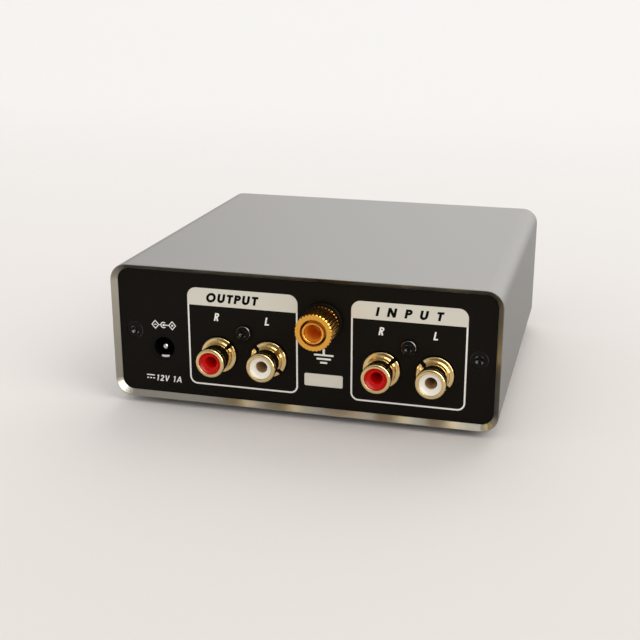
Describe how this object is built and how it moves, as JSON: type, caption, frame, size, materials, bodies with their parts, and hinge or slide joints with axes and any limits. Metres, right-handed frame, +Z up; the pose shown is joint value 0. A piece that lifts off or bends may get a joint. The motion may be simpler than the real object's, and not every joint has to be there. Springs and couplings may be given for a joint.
{
  "type": "phono preamp",
  "caption": "Small turntable phono preamp in an extruded metal tube, with paired phono input and output sockets, knurled ground post and power socket on the rear.",
  "frame": {"origin": "on the surface the feet stand on, under the middle of the part", "axes": "+X to the right seen from the switch end, +Y towards the connector end, +Z up"},
  "size_m": [0.108, 0.1183, 0.0405],
  "materials": {
    "case_metal": "satin, fine bead-blasted, titanium grey anodised",
    "panel_black": "satin black anodised, pale screen print",
    "black_steel": "black zinc, semi-gloss",
    "foot_rubber": "matt",
    "board_green": "solder mask",
    "chip_black": "moulded epoxy",
    "resistor_body": "lacquered",
    "cap_sleeve": "shrink sleeve",
    "film_cap_case": "moulded box",
    "black_plastic": "moulded, slight sheen",
    "gold_plate": "polished gold plate",
    "red_plastic": "moulded, glossy",
    "white_plastic": "moulded, glossy",
    "nickel_plate": "bright nickel plate",
    "switch_red": "moulded",
    "led_resin": "clear cast resin"
  },
  "bodies": {
    "case": {"case_tube": "case_metal", "rear_panel": "panel_black", "front_panel": "panel_black", "rear_panel_screws": "black_steel", "front_panel_screws": "black_steel", "foot_front_left": "foot_rubber", "foot_front_right": "foot_rubber", "foot_rear_left": "foot_rubber", "foot_rear_right": "foot_rubber", "main_board": "board_green", "op_amp_left": "chip_black", "op_amp_right": "chip_black", "voltage_regulator": "chip_black", "resistors": "resistor_body", "electrolytic_cap_1": "cap_sleeve", "electrolytic_cap_2": "cap_sleeve", "electrolytic_cap_3": "cap_sleeve", "electrolytic_cap_4": "cap_sleeve", "film_cap_1": "film_cap_case", "film_cap_2": "film_cap_case", "film_cap_3": "film_cap_case", "film_cap_4": "film_cap_case", "rca_housing_output": "black_plastic", "rca_housing_input": "black_plastic", "rca_block_screws": "black_steel", "rca_shell_output_right": "gold_plate", "rca_shell_output_left": "gold_plate", "rca_shell_input_right": "gold_plate", "rca_shell_input_left": "gold_plate", "rca_insert_output_right": "red_plastic", "rca_insert_output_left": "white_plastic", "rca_insert_input_right": "red_plastic", "rca_insert_input_left": "white_plastic", "rca_contact_output_right": "gold_plate", "rca_contact_output_left": "gold_plate", "rca_contact_input_right": "gold_plate", "rca_contact_input_left": "gold_plate", "dc_jack_body": "black_plastic", "dc_jack_pin": "nickel_plate", "dc_jack_spring": "nickel_plate", "ground_stud": "gold_plate", "ground_collar": "black_plastic", "ground_inner_washer": "black_plastic", "ground_tag": "nickel_plate", "ground_lock_nut": "gold_plate", "switch_body": "switch_red", "switch_bushing": "nickel_plate", "switch_pin": "nickel_plate", "switch_washer": "nickel_plate", "switch_nut": "nickel_plate", "switch_terminals": "nickel_plate", "led_bezel": "nickel_plate", "led_lens": "led_resin", "led_leads": "nickel_plate"},
    "ground_clamp_washer": {"ground_clamp_washer": "gold_plate"},
    "ground_thumb_nut": {"ground_thumb_nut": "gold_plate"},
    "switch_lever": {"switch_lever": "nickel_plate"}
  },
  "joints": [
    {"name": "ground_post_travel", "type": "slide", "parent": "case", "child": "ground_clamp_washer", "axis": [0, 1, 0], "range_m": [0, 0.004]},
    {"name": "ground_nut_turn", "type": "hinge", "parent": "ground_clamp_washer", "child": "ground_thumb_nut", "pos_m": [-0.0064, 0.0546, 0.02835], "axis": [0, 1, 0], "range_deg": [0, 1440]},
    {"name": "power_switch", "type": "hinge", "parent": "case", "child": "switch_lever", "pos_m": [0.036, -0.0496, 0.02125], "axis": [-1, 0, 0], "range_deg": [0, 25]}
  ],
  "couplings": [
    {"joint": "ground_nut_turn", "follows": "ground_post_travel", "rad_per_m": 6283.2}
  ]
}
